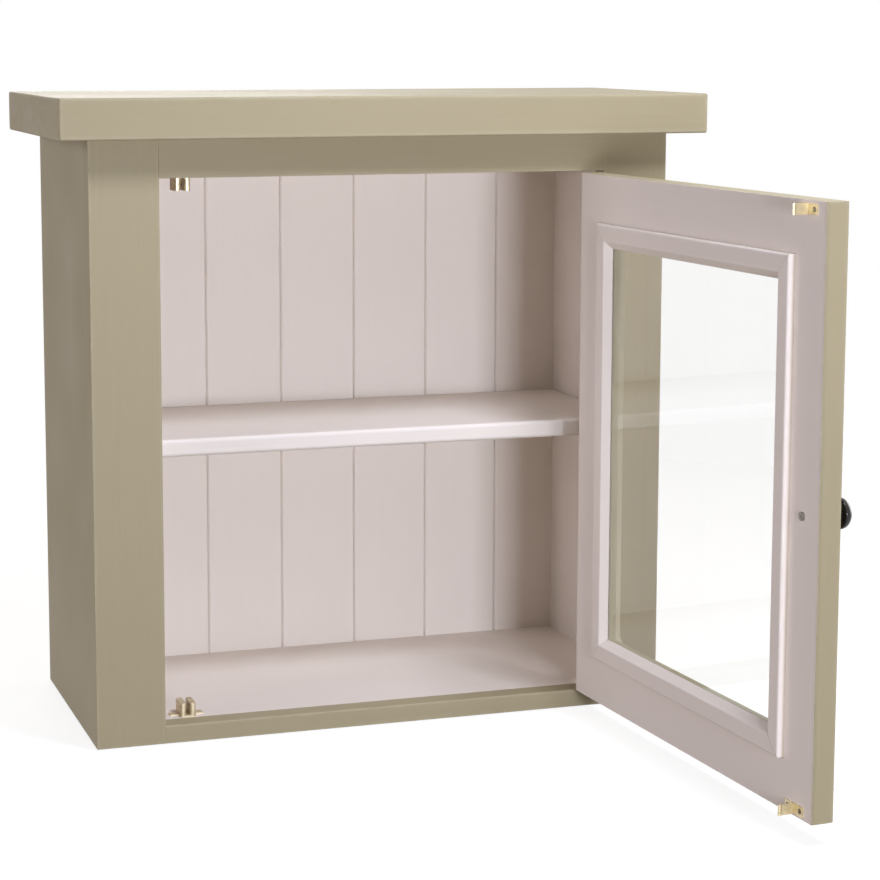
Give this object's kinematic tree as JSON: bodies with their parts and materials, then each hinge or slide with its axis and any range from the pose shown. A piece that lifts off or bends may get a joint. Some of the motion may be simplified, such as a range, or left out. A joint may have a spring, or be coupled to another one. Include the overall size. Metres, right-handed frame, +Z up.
{
  "type": "kitchen wall cabinet",
  "caption": "Painted wall cabinet with a thick cornice, a boarded back, a shelf and a right-hung glazed door on butt hinges, held shut by sprung ball catches.",
  "frame": {"origin": "middle of the carcass's underside: half way across the carcass's width and half way through its depth", "axes": "+X to the viewer's right, +Y to the wall behind, +Z up; the door's opening faces -Y"},
  "size_m": [0.664, 0.7362, 0.638],
  "materials": {
    "sage_paint": "satin",
    "cream_paint": "satin",
    "bare_wood": "matte",
    "brass": "polished",
    "steel": "satin",
    "dark_bronze": "gloss",
    "clear_glass": "polished"
  },
  "bodies": {
    "carcass": {"left_side_panel": "sage_paint", "right_side_panel": "sage_paint", "cornice_top": "sage_paint", "face_left_stile": "sage_paint", "face_right_stile": "sage_paint", "face_top_rail": "sage_paint", "face_bottom_rail": "sage_paint", "base_panel": "cream_paint", "top_panel": "cream_paint", "shelf": "cream_paint", "back_board_1": "cream_paint", "back_board_2": "cream_paint", "back_board_3": "cream_paint", "back_board_4": "cream_paint", "back_board_5": "cream_paint", "back_board_6": "cream_paint", "back_board_7": "cream_paint", "cornice_dowels": "bare_wood", "upper_hinge_frame_leaf": "brass", "upper_hinge_pin": "brass", "lower_hinge_frame_leaf": "brass", "lower_hinge_pin": "brass", "frame_hinge_screws": "brass", "top_catch_body": "brass", "bottom_catch_body": "brass", "catch_screws": "brass", "catch_adjusters": "brass", "top_catch_left_spring": "steel", "top_catch_right_spring": "steel", "bottom_catch_left_spring": "steel", "bottom_catch_right_spring": "steel", "back_board_nails": "steel", "hanger_plates": "steel", "hanger_screws": "steel", "shelf_pins": "steel"},
    "door": {"door_hinge_stile": "sage_paint", "door_closing_stile": "sage_paint", "door_top_rail": "sage_paint", "door_bottom_rail": "sage_paint", "glass_pane": "clear_glass", "bead_top": "cream_paint", "bead_bottom": "cream_paint", "bead_hinge_side": "cream_paint", "bead_closing_side": "cream_paint", "upper_hinge_door_leaf": "brass", "lower_hinge_door_leaf": "brass", "door_hinge_screws": "brass", "top_strike": "brass", "bottom_strike": "brass", "strike_screws": "brass", "door_knob": "dark_bronze", "knob_screw": "steel"},
    "top_catch_left_ball": {"top_catch_left_ball": "steel"},
    "top_catch_right_ball": {"top_catch_right_ball": "steel"},
    "bottom_catch_left_ball": {"bottom_catch_left_ball": "steel"},
    "bottom_catch_right_ball": {"bottom_catch_right_ball": "steel"}
  },
  "joints": [
    {"name": "door_swing", "type": "hinge", "parent": "carcass", "child": "door", "pos_m": [0.23025, -0.1402, 0.289], "axis": [0, 0, 1], "range_deg": [-93.8, 86.2]},
    {"name": "top_left_ball_slide", "type": "slide", "parent": "carcass", "child": "top_catch_left_ball", "axis": [-1, 0, 0], "range_m": [0, 0.0007], "stiffness_N_per_m": 2000, "deforming": ["top_catch_left_spring"]},
    {"name": "top_right_ball_slide", "type": "slide", "parent": "carcass", "child": "top_catch_right_ball", "axis": [1, 0, 0], "range_m": [0, 0.0007], "stiffness_N_per_m": 2000, "deforming": ["top_catch_right_spring"]},
    {"name": "bottom_left_ball_slide", "type": "slide", "parent": "carcass", "child": "bottom_catch_left_ball", "axis": [-1, 0, 0], "range_m": [0, 0.0007], "stiffness_N_per_m": 2000, "deforming": ["bottom_catch_left_spring"]},
    {"name": "bottom_right_ball_slide", "type": "slide", "parent": "carcass", "child": "bottom_catch_right_ball", "axis": [1, 0, 0], "range_m": [0, 0.0007], "stiffness_N_per_m": 2000, "deforming": ["bottom_catch_right_spring"]}
  ],
  "couplings": [
    {"joint": "top_right_ball_slide", "follows": "top_left_ball_slide", "ratio": 1},
    {"joint": "bottom_right_ball_slide", "follows": "bottom_left_ball_slide", "ratio": 1}
  ]
}
